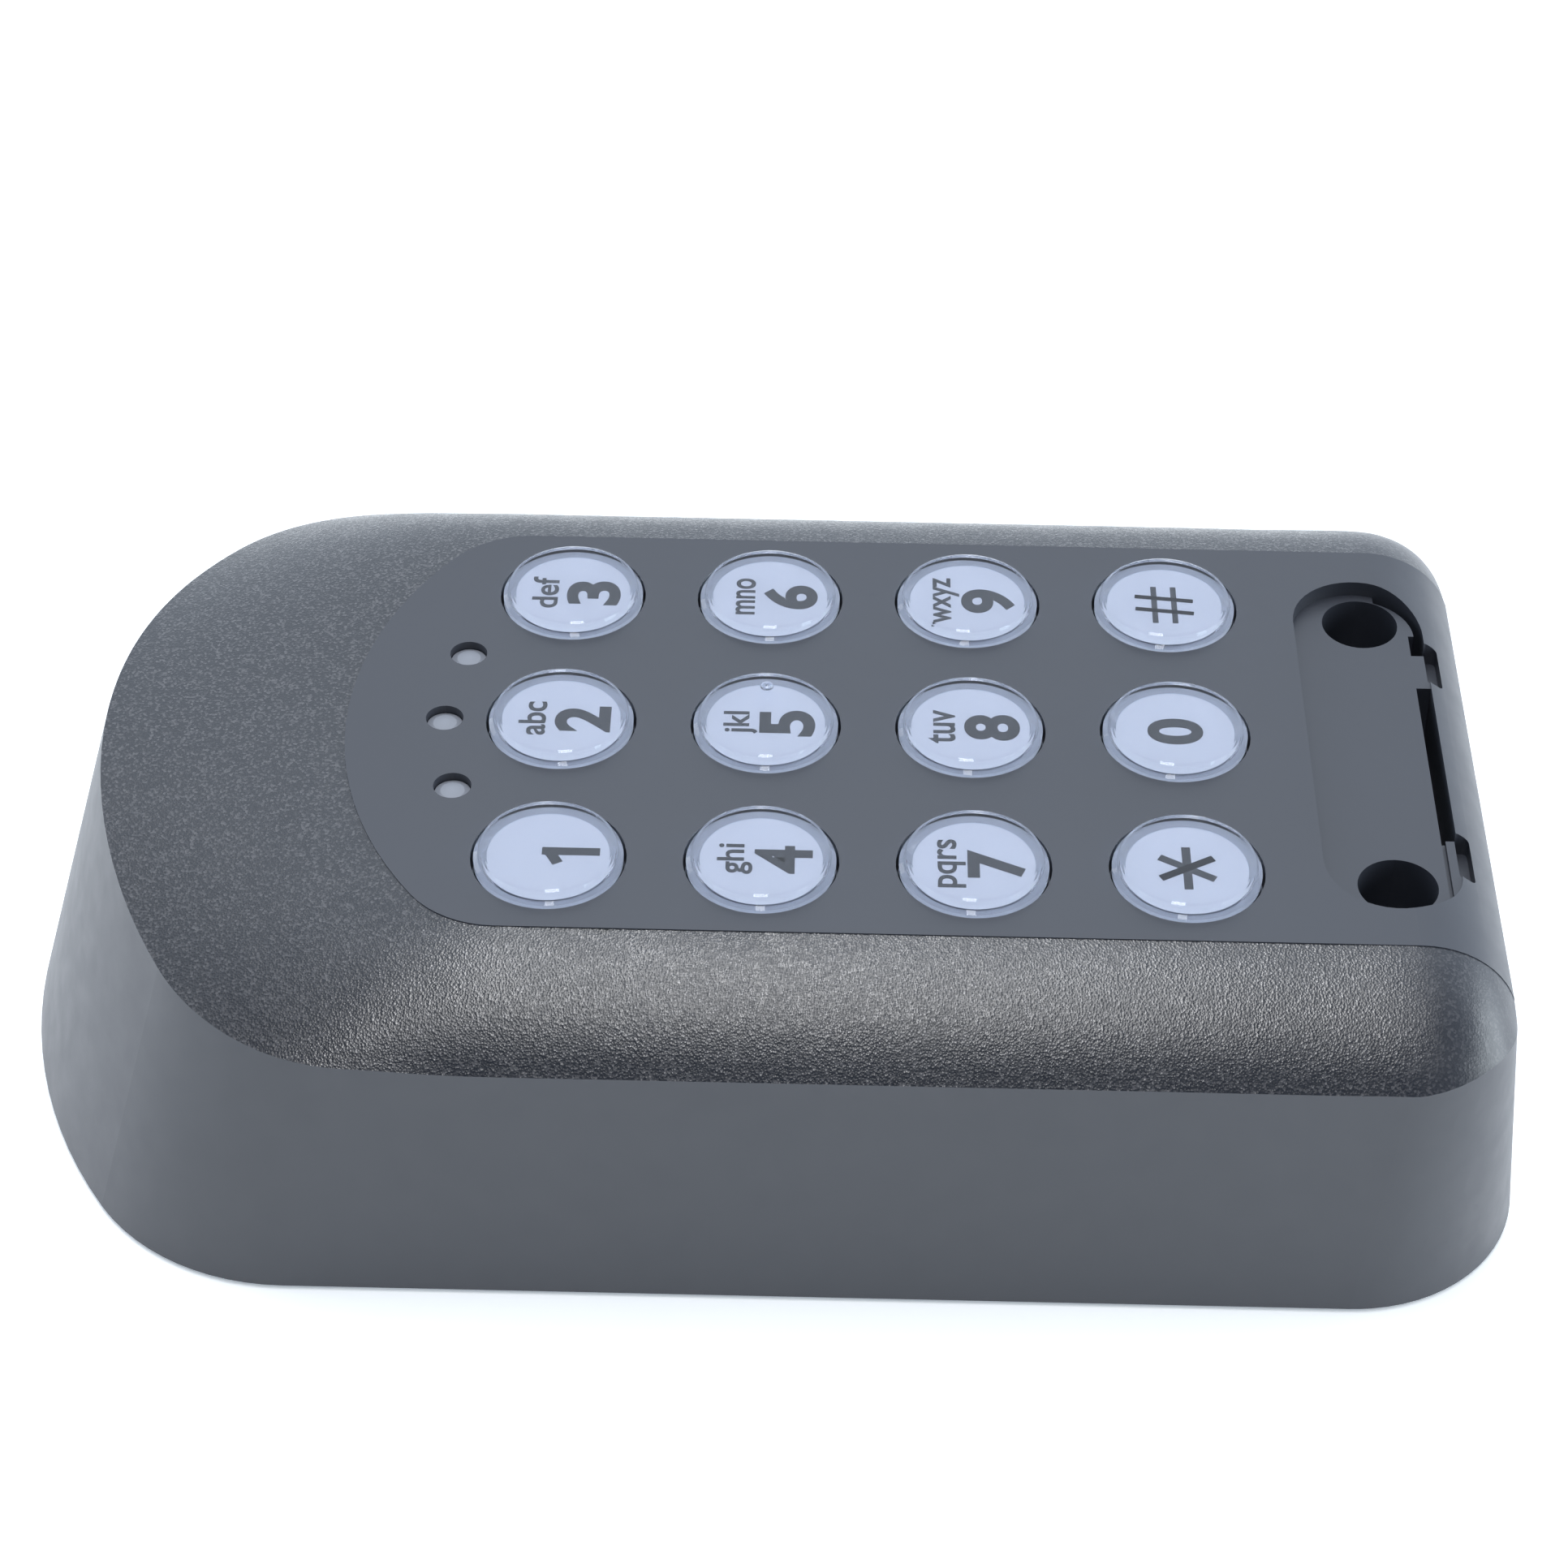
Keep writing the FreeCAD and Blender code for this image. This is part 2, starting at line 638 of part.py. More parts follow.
def cover_screws():
    places = [s * WELL_X for s in (-1, 1)]
    return Part.makeCompound([screw(x, WELL_Y, WELL_FLOOR_Z, 2.9, 2.0, SCREW_R, 11.5) for x in places])


def board_screws():
    places = [(s * POST_X, y) for s in (-1, 1) for y in POST_Y]
    return Part.makeCompound([screw(x, y, BOARD_TOP, 2.2, 1.5, 1.05, 8.0) for x, y in places])


def tamper_switch():
    """Switch case over the plunger, hung from a bracket on the rear plate."""
    x, y = TAMPER
    case = block(x - 4, x + 4, y - 4, y + 4, 13.0, 18.0).cut(tube(x, y, 12, 16.5, 2.4))
    legs = [block(x - 4, x + 4, y + s * 5 - 1, y + s * 5 + 1, BACK, 18.0) for s in (-1, 1)]
    return join([case] + legs)


def tamper_plunger():
    """Pin through the rear plate that the wall holds in."""
    x, y = TAMPER
    pin = tube(x, y, 0.05, 14.5, 2.0)
    collar = tube(x, y, BACK + TAMPER_TRAVEL + 0.1, 5.2, 3.4)
    return join([pin, collar])


def tamper_spring():
    """Coil of square wire between the plunger's collar and the switch case."""
    x, y = TAMPER
    bottom, top, radius, half_wire = 5.5, 12.7, 2.78, 0.22
    helix = Part.makeHelix((top - bottom) / 5.0, top - bottom, radius)
    sides = [(-1, -1), (1, -1), (1, 1), (-1, 1), (-1, -1)]
    profile = Part.makePolygon([Vector(radius + a * half_wire, 0, b * half_wire) for a, b in sides])
    coil = helix.makePipeShell([profile], True, True)
    coil.translate(Vector(x, y, bottom))
    return coil


# ---------------------------------------------------------------- export
def all_parts():
    parts = {
        "front_cover": front_cover(),
        "rear_plate": rear_plate(),
        "cover_seal": cover_seal(),
        "keypad_mat": keypad_mat(),
        "pcb": pcb(),
        "contact_pads": contact_pads(),
        "status_leds": status_leds(),
        "led_lenses": led_lenses(),
        "backlight_leds": backlight_leds(),
        "mcu_chip": chip(14.0, -41.0, 5.0, 3.0, 1.4, 10),
        "driver_chip": chip(-14.0, -41.0, 3.6, 2.0, 1.3, 7),
        "radio_module": radio_module(),
        "antenna": antenna(),
        "buzzer": buzzer(),
        "capacitor": capacitor(),
        "battery_holder": battery_holder(),
        "battery_cells": battery_cells(),
        "battery_contacts": battery_contacts(),
        "cover_screws": cover_screws(),
        "board_screws": board_screws(),
        "tamper_switch": tamper_switch(),
        "tamper_plunger": tamper_plunger(),
        "tamper_spring": tamper_spring(),
    }
    for row, y in zip(KEY_NAMES, ROWS):
        for name, x in zip(row, COLUMNS):
            parts["key_%s_cap" % name] = key_cap(x, y)
            parts["key_%s_core" % name] = key_core(x, y)
    return parts


def main():
    os.makedirs("parts", exist_ok=True)
    for name, shape in all_parts().items():
        if not shape.isValid():
            print("not valid:", name)
        box = shape.BoundBox
        size = "%.1f x %.1f x %.1f" % (box.XLength, box.YLength, box.ZLength)
        print(name, len(shape.Solids), "solid(s)", size, "volume %.0f" % shape.Volume)
        shape.exportStep("parts/%s.step" % name)


main()
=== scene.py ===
"""Looks of the alarm keypad panel: finishes, key legends, rubber domes, studio and camera."""

import json
import math

import bpy
from mathutils import Matrix, Vector


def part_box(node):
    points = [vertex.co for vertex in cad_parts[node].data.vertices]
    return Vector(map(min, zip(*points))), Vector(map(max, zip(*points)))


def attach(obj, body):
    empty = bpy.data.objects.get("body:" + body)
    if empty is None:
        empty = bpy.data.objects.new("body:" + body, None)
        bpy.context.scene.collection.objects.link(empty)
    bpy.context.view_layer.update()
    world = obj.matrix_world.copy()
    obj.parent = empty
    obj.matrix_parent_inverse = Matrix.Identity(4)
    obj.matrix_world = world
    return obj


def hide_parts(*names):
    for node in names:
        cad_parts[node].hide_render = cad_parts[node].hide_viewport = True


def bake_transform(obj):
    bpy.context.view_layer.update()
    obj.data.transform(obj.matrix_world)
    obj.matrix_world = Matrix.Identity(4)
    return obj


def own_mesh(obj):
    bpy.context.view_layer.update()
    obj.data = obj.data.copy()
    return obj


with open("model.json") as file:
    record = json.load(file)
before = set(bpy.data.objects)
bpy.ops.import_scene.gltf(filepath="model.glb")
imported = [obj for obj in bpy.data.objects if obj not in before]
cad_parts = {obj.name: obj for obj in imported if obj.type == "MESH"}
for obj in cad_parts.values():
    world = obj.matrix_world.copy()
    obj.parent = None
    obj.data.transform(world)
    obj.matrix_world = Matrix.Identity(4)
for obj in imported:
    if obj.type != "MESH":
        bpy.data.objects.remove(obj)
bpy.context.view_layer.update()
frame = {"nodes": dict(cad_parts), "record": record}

MM = 0.001
UP = Vector((0, 0, 1))

# ---------------------------------------------------------------- places taken from the frame
KEY_NAMES = ("1", "2", "3", "4", "5", "6", "7", "8", "9", "star", "0", "hash")
LETTERS = {
    "2": "abc",
    "3": "def",
    "4": "ghi",
    "5": "jkl",
    "6": "mno",
    "7": "pqrs",
    "8": "tuv",
    "9": "wxyz",
}


def middle(node):
    low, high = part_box(node)
    return (low + high) / 2


KEY_AT = {name: middle("key_%s_core" % name) for name in KEY_NAMES}
CORE_LOW, CORE_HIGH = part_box("key_5_core")
STEM_Z = CORE_LOW.z
LABEL_Z = CORE_HIGH.z
LABEL_R = (CORE_HIGH.x - CORE_LOW.x) / 2
PANEL_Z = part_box("front_cover")[1].z
PANEL_HALF = 28.25 * MM  # half width of the smooth panel
PANEL_STRAIGHT_Y = 25.0 * MM  # the panel's sides are straight up to here

# ---------------------------------------------------------------- camera
CAMERA_AT = Vector((-0.2828, -0.0041, 0.2683))
CAMERA_AIM = Vector((0.7588, 0.0061, -0.6513))
CAMERA_ROLL = 0.92  # degrees
CAMERA_LENS = 90.97


def add_camera():
    data = bpy.data.cameras.new("camera")
    data.lens = CAMERA_LENS
    data.sensor_width = 36.0
    data.clip_start = 0.01
    camera = bpy.data.objects.new("camera", data)
    bpy.context.scene.collection.objects.link(camera)
    turn = CAMERA_AIM.to_track_quat("-Z", "Y").to_matrix()
    turn = turn @ Matrix.Rotation(math.radians(CAMERA_ROLL), 3, "Z")
    camera.matrix_world = Matrix.Translation(CAMERA_AT) @ turn.to_4x4()
    bpy.context.scene.camera = camera


# ---------------------------------------------------------------- material building
def linear(colour):
    """sRGB 0-255 to the linear values that shaders take."""
    values = [(c / 255) / 12.92 if c <= 10 else ((c / 255 + 0.055) / 1.055) ** 2.4 for c in colour]
    return (*values, 1.0)


MOST_BENT = 0.98  # cosine of the angle at which a smooth normal is no longer trusted


class Finish:
    """A material and short ways to add nodes to it."""

    def __init__(self, name, **sockets):
        self.material = bpy.data.materials.new(name)
        self.material.use_nodes = True
        self.tree = self.material.node_tree
        self.shader = self.tree.nodes["Principled BSDF"]
        self.output = self.tree.nodes["Material Output"]
        for key, value in sockets.items():
            self.shader.inputs[key.replace("_", " ").title().replace("Ior", "IOR")].default_value = value
        self._place = None

    def node(self, kind, inputs=None, **settings):
        n = self.tree.nodes.new(kind)
        for key, value in settings.items():
            setattr(n, key, value)
        for key, value in (inputs or {}).items():
            if isinstance(value, bpy.types.NodeSocket):
                self.tree.links.new(value, n.inputs[key])
            else:
                n.inputs[key].default_value = value
        return n

    def place(self):
        """Position in the piece's own space, in metres."""
        if self._place is None:
            self._place = self.node("ShaderNodeTexCoord").outputs["Object"]
        return self._place

    def maths(self, operation, a, b=0.0, c=0.0):
        n = self.node("ShaderNodeMath", {0: a, 1: b, 2: c}, operation=operation)
        return n.outputs[0]

    def noise(self, size_mm, detail=3.0, stretch=None):
        """Noise whose features are about size_mm across."""
        at = self.place()
        if stretch:
            at = self.node("ShaderNodeMapping", {0: at, 3: stretch}).outputs[0]
        scale = 1.0 / (size_mm * MM)
        n = self.node("ShaderNodeTexNoise", {"Vector": at, "Scale": scale, "Detail": detail})
        return n.outputs["Fac"]

    def cells(self, size_mm, output="Distance"):
        """Grains about size_mm across: the distance from each one's middle, or its random colour."""
        scale = 1.0 / (size_mm * MM)
        n = self.node("ShaderNodeTexVoronoi", {"Vector": self.place(), "Scale": scale})
        return n.outputs[output]

    def fit(self, value, low, high, to_low, to_high, smooth=False):
        kind = "SMOOTHSTEP" if smooth else "LINEAR"
        inputs = {0: value, 1: low, 2: high, 3: to_low, 4: to_high}
        return self.node("ShaderNodeMapRange", inputs, interpolation_type=kind).outputs[0]

    def mix(self, factor, a, b):
        n = self.node("ShaderNodeMix", {0: factor, 6: a, 7: b}, data_type="RGBA")
        return n.outputs[2]

    def set(self, socket, value):
        self.tree.links.new(value, self.shader.inputs[socket])
        return self

    def steady_normal(self, geometry):
        """The smooth normal, or the face's own where smoothing has bent it far off."""
        smooth, own = geometry["Normal"], geometry["True Normal"]
        agree = self.node("ShaderNodeVectorMath", {0: smooth, 1: own}, operation="DOT_PRODUCT")
        bent = self.maths("LESS_THAN", agree.outputs["Value"], MOST_BENT)
        n = self.node("ShaderNodeMix", {0: bent, 4: smooth, 5: own}, data_type="VECTOR")
        return n.outputs[1]

    def bump(self, height, depth_mm, normal=None):
        inputs = {"Height": height, "Distance": depth_mm * MM}
        if normal:
            inputs["Normal"] = normal
        return self.set("Normal", self.node("ShaderNodeBump", inputs).outputs[0])


def shade(colour, factor):
    return (*[min(1.0, c * factor) for c in colour[:3]], 1.0)


def moulded(name, colour, roughness, grain_mm=0.25, depth_mm=0.01, variation=0.08, **sockets):
    """Moulded plastic, rubber or paint: cloudy tone, uneven gloss and a fine surface grain."""
    f = Finish(name, **sockets)
    tone = linear(colour)
    clouds = f.noise(9.0, 4.0)
    f.set("Base Color", f.mix(clouds, shade(tone, 1 - variation), shade(tone, 1 + variation)))
    f.set("Roughness", f.fit(f.noise(2.5), 0.3, 0.7, roughness * 0.9, roughness * 1.1))
    f.bump(f.noise(grain_mm, 2.0), depth_mm)
    return f.material


# ---------------------------------------------------------------- finishes
HOUSING = (50, 54, 64)
GRAIN_MM = 0.21  # size of the grain on the shoulder, whose light specks are painted glints
GRAIN_DEPTH_MM = 0.027
GRAIN_FROM_Y = (-66.0 * MM, -52.0 * MM)  # the grain comes in between these, past the end roll
FACING_UP = (0.3, 0.62)  # upward share of the normal: walls below this range, shoulder above
BELOW_PANEL = (0.1 * MM, 0.04 * MM)  # depths under the panel: full grain and no grain


def housing_finish():
    """Satin grey moulding. The shoulder outside the key panel has a grain of dark cells and light
    specks; the light specks are painted glints.
    """
    f = Finish("housing", specular_ior_level=0.75)
    x, y, z = f.node("ShaderNodeSeparateXYZ", {0: f.place()}).outputs
    geometry = f.node("ShaderNodeNewGeometry").outputs
    lean = f.node("ShaderNodeSeparateXYZ", {0: geometry["True Normal"]})
    facing_up = f.fit(lean.outputs[2], *FACING_UP, 0.0, 1.0, smooth=True)
    below = f.fit(z, *[PANEL_Z - depth for depth in BELOW_PANEL], 1.0, 0.0)
    beside = f.maths("GREATER_THAN", f.maths("ABSOLUTE", x), PANEL_HALF)
    beyond = f.maths("MULTIPLY", below, f.maths("GREATER_THAN", y, PANEL_STRAIGHT_Y))
    fade = f.fit(y, *GRAIN_FROM_Y, 0.35, 1.0, smooth=True)
    grain = f.maths("MULTIPLY", facing_up, f.maths("MAXIMUM", beside, beyond))
    grain = f.maths("MULTIPLY", grain, fade)
    grains = f.cells(GRAIN_MM)
    grain_tone = f.cells(GRAIN_MM, "Color")
    speck = f.node("ShaderNodeSeparateColor", {0: grain_tone}).outputs[0]
    clouds = f.noise(14.0, 4.0)
    tone = linear(HOUSING)
    plain = f.mix(clouds, shade(tone, 0.95), shade(tone, 1.05))
    # Grain cells run from half the tone up to light grey; the light grey specks are painted glints
    # standing in for highlights off the grain.
    grain_and_painted_glints = f.mix(f.fit(speck, 0.6, 1.0, 0.0, 1.0), shade(tone, 0.5), linear((92, 92, 96)))
    f.set("Base Color", f.mix(f.maths("MULTIPLY", grain, 0.8), plain, grain_and_painted_glints))
    smooth_gloss = f.fit(f.noise(3.0), 0.3, 0.7, 0.38, 0.44)
    shine = f.maths("MULTIPLY", grain, f.fit(speck, 0.4, 1.0, 0.1, 0.19))
    f.set("Roughness", f.maths("SUBTRACT", smooth_gloss, shine))
    fine = f.maths("MULTIPLY", f.noise(0.35, 2.0), 0.06)
    pits = f.maths("MULTIPLY_ADD", f.maths("MULTIPLY", grains, grain), 1.0, fine)
    f.bump(pits, GRAIN_DEPTH_MM, f.steady_normal(geometry))
    return f.material


def clear_finish():
    """Clear polished plastic that lets lamp light through to the label."""
    f = Finish(
        "key_clear",
        roughness=0.03,
        ior=1.15,
        transmission_weight=0.99,
        coat_weight=0.3,
        coat_roughness=0.03,
    )
    tone = linear((243, 246, 252))
    f.set("Base Color", f.mix(f.noise(4.0), shade(tone, 0.97), tone))
    f.bump(f.noise(1.5, 2.0), 0.004)
    clear = f.node("ShaderNodeBsdfTransparent", {"Color": (0.93, 0.95, 0.98, 1.0)})
    lamp = f.node("ShaderNodeLightPath").outputs["Is Shadow Ray"]
    mixed = f.node("ShaderNodeMixShader", {0: lamp, 1: f.shader.outputs[0], 2: clear.outputs[0]})
    f.tree.links.new(mixed.outputs[0], f.output.inputs["Surface"])
    return f.material


def insert_finish():
    """White label film on top of the core; the core below the film is painted a darker grey as painted
    shade.
    """
    f = Finish("key_white")
    z = f.node("ShaderNodeSeparateXYZ", {0: f.place()}).outputs[2]
    film = f.fit(z, LABEL_Z - 0.2 * MM, LABEL_Z - 0.1 * MM, 0.0, 1.0)
    tone = f.mix(f.noise(5.0), linear((138, 142, 153)), linear((142, 146, 157)))
    # Below the film the core's flange and collar are painted a darker grey: painted shade under the
    # clear cap's edge.
    f.set("Base Color", f.mix(film, linear((100, 106, 119)), tone))
    f.set("Roughness", f.fit(f.noise(0.8), 0.3, 0.7, 0.38, 0.46))
    f.bump(f.noise(0.3, 2.0), 0.004)
    return f.material


def brushed(name, colour, roughness, metallic=1.0, stretch=(1.0, 0.06, 1.0)):
    f = Finish(name, metallic=metallic)
    tone = linear(colour)
    lines = f.noise(0.3, 3.0, stretch)
    f.set("Base Color", f.mix(lines, shade(tone, 0.85), shade(tone, 1.08)))
    f.set("Roughness", f.fit(lines, 0.3, 0.7, roughness * 0.8, roughness * 1.2))
    f.bump(lines, 0.004)
    return f.material


def board_finish():
    """Green solder mask over copper tracks."""
    f = Finish("board", roughness=0.35)
    mask = linear((12, 78, 45))
    wide = f.node(
        "ShaderNodeTexBrick",
        {
            "Vector": f.place(),
            "Scale": 1.0,
            "Mortar Size": 0.35 * MM,
            "Mortar Smooth": 0.1,
            "Bias": 0.0,
            "Brick Width": 6.0 * MM,
            "Row Height": 2.4 * MM,
        },
    )
    tracks = f.maths("GREATER_THAN", wide.outputs["Fac"], 0.5)
    f.set("Base Color", f.mix(tracks, mask, shade(mask, 1.9)))
    f.bump(tracks, 0.03)
    return f.material


CELL_BAND_X = 12.0 * MM


def sleeve_finish():
    """Cell jackets: dark wrap with a copper-toned band at the positive end."""
    f = Finish("cell_jacket", roughness=0.28, coat_weight=0.5)
    x = f.node("ShaderNodeSeparateXYZ", {0: f.place()}).outputs[0]
    band = f.maths("GREATER_THAN", x, CELL_BAND_X)
    wrap = f.mix(f.noise(5.0), linear((24, 28, 32)), linear((30, 35, 40)))
    f.set("Base Color", f.mix(band, wrap, linear((168, 103, 58))))
    f.bump(f.noise(3.0), 0.01)
    return f.material


FINISHES = {
    "housing": housing_finish(),
    "rear_plastic": moulded("rear_plastic", (84, 88, 96), 0.55, 0.3, 0.02),
    "seal_rubber": moulded("seal_rubber", (38, 38, 40), 0.75, 0.4, 0.03),
    "silicone": moulded("silicone", (198, 201, 205), 0.6, 0.5, 0.01, subsurface_weight=0.1),
    "board": board_finish(),
    "gold_pads": brushed("gold_pads", (226, 178, 92), 0.3),
    "emitters": moulded("emitters", (232, 228, 205), 0.25, 0.8, 0.005),
    "light_guide": moulded("light_guide", (140, 145, 156), 0.35, 0.6, 0.01),
    "chip_black": moulded("chip_black", (30, 30, 32), 0.6, 0.15, 0.01),
    "tinned_can": brushed("tinned_can", (196, 198, 200), 0.32),
    "steel": brushed("steel", (176, 179, 184), 0.3),
    "capacitor_sleeve": moulded("capacitor_sleeve", (28, 34, 92), 0.3, 0.8, 0.006),
    "holder_black": moulded("holder_black", (34, 34, 37), 0.5, 0.25, 0.02),
    "cell_jacket": sleeve_finish(),
    "white_plastic": moulded("white_plastic", (226, 226, 222), 0.45, 0.3, 0.01),
    "key_clear": clear_finish(),
    "key_white": insert_finish(),
}
INK = moulded("legend_ink", (30, 32, 37), 0.6, 0.1, 0.004, 0.05, specular_ior_level=0.2)


def dress_cad_nodes():
    slot_of = {part["node"]: part["material_slot"] for part in frame["record"]["subparts"]}
    for name, node in frame["nodes"].items():
        material = FINISHES[slot_of[name]]
        if not node.data.materials:
            node.data.materials.append(material)
        for index in range(len(node.material_slots)):
            node.material_slots[index].material = material


# ---------------------------------------------------------------- pieces
def add_mesh(name, vertices, faces, body, slot, smooth=True):
    mesh = bpy.data.meshes.new(name)
    mesh.from_pydata([tuple(v) for v in vertices], [], faces)
    mesh.validate()
    mesh.polygons.foreach_set("use_smooth", [smooth] * len(mesh.polygons))
    piece = bpy.data.objects.new(name, mesh)
    bpy.context.scene.collection.objects.link(piece)
    mesh.materials.append(FINISHES[slot])
    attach(piece, body)
    return piece


AXIS_R = 0.001 * MM  # smallest radius of a turned profile, in place of zero


def turned(name, centre, profile, body, slot, steps):
    """Body of revolution about the upright line through centre; profile is (radius, z)."""
    vertices = []
    for k in range(steps):
        angle = 2 * math.pi * k / steps
        for r, z in profile:
            vertices.append((centre.x + r * math.cos(angle), centre.y + r * math.sin(angle), z))
    rows = len(profile)
    faces = []
    for k in range(steps):
        here, there = k * rows, (k + 1) % steps * rows
        for j in range(rows):
            i = (j + 1) % rows
            faces.append((here + j, there + j, there + i, here + i))
    return add_mesh(name, vertices, faces, body, slot)


INK_T = 0.02 * MM
BAR_LIFT = 0.003 * MM  # each bar stands this much above the last, so crossing bars share no face
BAR_FACES = ((0, 1, 2, 3), (7, 6, 5, 4), (0, 4, 5, 1), (1, 5, 6, 2), (2, 6, 7, 3), (3, 7, 4, 0))


def lettering(text, width, height, centre, weight):
    """Mesh of text, width by height, with its middle at centre and its top towards +Y."""
    font = bpy.data.curves.new("lettering", "FONT")
    font.body = text
    font.offset = weight
    font.extrude = 0.5
    font.resolution_u = 6
    holder = bpy.data.objects.new("lettering", font)
    bpy.context.scene.collection.objects.link(holder)
    bpy.context.view_layer.update()
    evaluated = holder.evaluated_get(bpy.context.evaluated_depsgraph_get())
    mesh = bpy.data.meshes.new_from_object(evaluated)
    bpy.data.objects.remove(holder)
    low = [min(v.co[k] for v in mesh.vertices) for k in range(3)]
    high = [max(v.co[k] for v in mesh.vertices) for k in range(3)]
    scale = Matrix.Diagonal((width / (high[0] - low[0]), height / (high[1] - low[1]), INK_T, 1))
    origin = Vector([-(a + b) / 2 for a, b in zip(low, high)])
    mesh.transform(Matrix.Translation(centre) @ scale @ Matrix.Translation(origin))
    return mesh


def strokes(lines, thickness, centre):
    """Mesh of straight bars of one thickness; lines are pairs of (x, y) ends about centre."""
    vertices, faces = [], []
    for count, (a, b) in enumerate(lines):
        lift = UP * BAR_LIFT * count
        a, b = Vector((*a, 0)) + lift, Vector((*b, 0)) + lift
        across = (b - a).normalized().cross(UP) * thickness / 2
        first = len(vertices)
        for z in (-INK_T / 2, INK_T / 2):
            for corner in (a + across, b + across, b - across, a - across):
                vertices.append(centre + corner + UP * z)
        faces += [[first + k for k in face] for face in BAR_FACES]
    mesh = bpy.data.meshes.new("strokes")
    mesh.from_pydata([tuple(v) for v in vertices], [], faces)
    return mesh


def add_legend(key, part, mesh):
    piece = bpy.data.objects.new("key_%s_%s" % (key, part), mesh)
    bpy.context.scene.collection.objects.link(piece)
    mesh.materials.clear()
    mesh.materials.append(INK)
    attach(piece, "key_" + key)


INK_Z = LABEL_Z + 0.015 * MM
DIGIT_SIZE = (3.7 * MM, 5.2 * MM)
DIGIT_DOWN = 2.0 * MM  # digits with letters over them sit this far below the key's centre
DIGIT_WEIGHT = {"4": 0.02}
USUAL_WEIGHT = 0.035
LETTER_WEIGHT = 0.016
LETTER_BASE = 1.4 * MM  # foot of the letters above the key's centre
LETTER_X_HEIGHT = 1.9 * MM
LETTER_RISE = 0.65 * MM  # of b, d, f and so on above the others, and of g, p, q below them
LETTER_WIDTH = 1.6 * MM
LETTER_SHARE = {"i": 0.5, "j": 0.5, "l": 0.5, "m": 1.5, "w": 1.4}  # of the usual letter's width
STAR_R, STAR_T = 2.8 * MM, 0.8 * MM
HASH_HALF, HASH_GAP, HASH_SLANT, HASH_T = 2.8 * MM, 0.95 * MM, 0.3 * MM, 0.55 * MM


def star(centre):
    ends = []
    for degrees in (0, 60, 120):
        angle = math.radians(degrees)
        ends.append((STAR_R * math.cos(angle), STAR_R * math.sin(angle)))
    return strokes([(end, (-end[0], -end[1])) for end in ends], STAR_T, centre)


def hash_sign(centre):
    half, gap, slant = HASH_HALF, HASH_GAP, HASH_SLANT
    bars = [((-half, s * gap), (half, s * gap)) for s in (-1, 1)]
    bars += [((s * gap - slant, -half), (s * gap + slant, half)) for s in (-1, 1)]
    return strokes(bars, HASH_T, centre)


def one(centre):
    half = DIGIT_SIZE[1] / 2
    stem = ((0.5 * MM, -half), (0.5 * MM, half))
    flag = ((0.7 * MM, half - 0.5 * MM), (-1.1 * MM, half - 1.5 * MM))
    return strokes([stem, flag], 1.0 * MM, centre)


def letters(text, centre):
    tall = set(text) & set("bdfhklt")
    deep = set(text) & set("gjpqy")
    foot = LETTER_BASE - LETTER_RISE * bool(deep)
    head = LETTER_BASE + LETTER_X_HEIGHT + LETTER_RISE * bool(tall)
    width = LETTER_WIDTH * sum(LETTER_SHARE.get(letter, 1) for letter in text)
    at = centre + Vector((0, (foot + head) / 2, 0))
    return lettering(text, width, head - foot, at, LETTER_WEIGHT)


def add_legends():
    for key in KEY_NAMES:
        centre = Vector((KEY_AT[key].x, KEY_AT[key].y, INK_Z))
        lowered = centre - Vector((0, DIGIT_DOWN, 0))
        if key == "star":
            add_legend(key, "sign", star(centre))
        elif key == "hash":
            add_legend(key, "sign", hash_sign(centre))
        elif key == "1":
            add_legend(key, "digit", one(lowered))
        else:
            at = centre if key == "0" else lowered
            weight = DIGIT_WEIGHT.get(key, USUAL_WEIGHT)
            add_legend(key, "digit", lettering(key, *DIGIT_SIZE, at, weight))
        if key in LETTERS:
            add_legend(key, "letters", letters(LETTERS[key], centre))


TEETH = 90
TOOTH_ENDS = ((LABEL_R - 0.05 * MM, 0.014), (LABEL_R + 0.3 * MM, 0.006))  # radius, half angle
TOOTH_T = 0.025 * MM
TOOTH_FACES = ((0, 1, 3, 2), (4, 6, 7, 5), (0, 4, 5, 1), (2, 3, 7, 6), (1, 5, 7, 3), (0, 2, 6, 4))


def add_serrations():
    """Fine teeth around each label, inside the clear cap's edge."""
    for key in KEY_NAMES:
        centre = KEY_AT[key]
        vertices, faces = [], []
        for k in range(TEETH):
            angle = 2 * math.pi * k / TEETH
            first = len(vertices)
            for r, half in TOOTH_ENDS:
                for a in (angle - half, angle + half):
                    for z in (LABEL_Z, LABEL_Z + TOOTH_T):
                        vertices.append((centre.x + r * math.cos(a), centre.y + r * math.sin(a), z))
            faces += [[first + n for n in face] for face in TOOTH_FACES]
        add_mesh("key_%s_teeth" % key, vertices, faces, "key_" + key, "key_white", smooth=False)


DOT_X = 4.1 * MM  # from the key's centre
DOT_R = 0.62 * MM
DOT_RISE = 0.35 * MM
DOT_SUNK = 0.05 * MM  # the dome starts this far down in the cap
DOT_FOOT = 0.12 * MM


def add_touch_mark():
    """Raised dot on the 5 for finding the keys by touch."""
    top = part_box("key_5_cap")[1].z
    foot, spring = top - DOT_FOOT, top - DOT_SUNK
    profile = [(DOT_R, foot)]
    for a in (0.0, 0.4, 0.8, 1.2, 1.5):
        profile.append((DOT_R * math.cos(a), spring + DOT_RISE * math.sin(a)))
    profile += [(AXIS_R, spring + DOT_RISE), (AXIS_R, foot)]
    centre = KEY_AT["5"] + Vector((DOT_X, 0, 0))
    turned("key_5_dot", centre, profile, "key_5", "key_clear", 32)


SHEET_T = 1.2 * MM
DOME_OPENING = 4.0 * MM
DOME_T = 0.9 * MM
SIDES = 24  # of each opening in the sheet


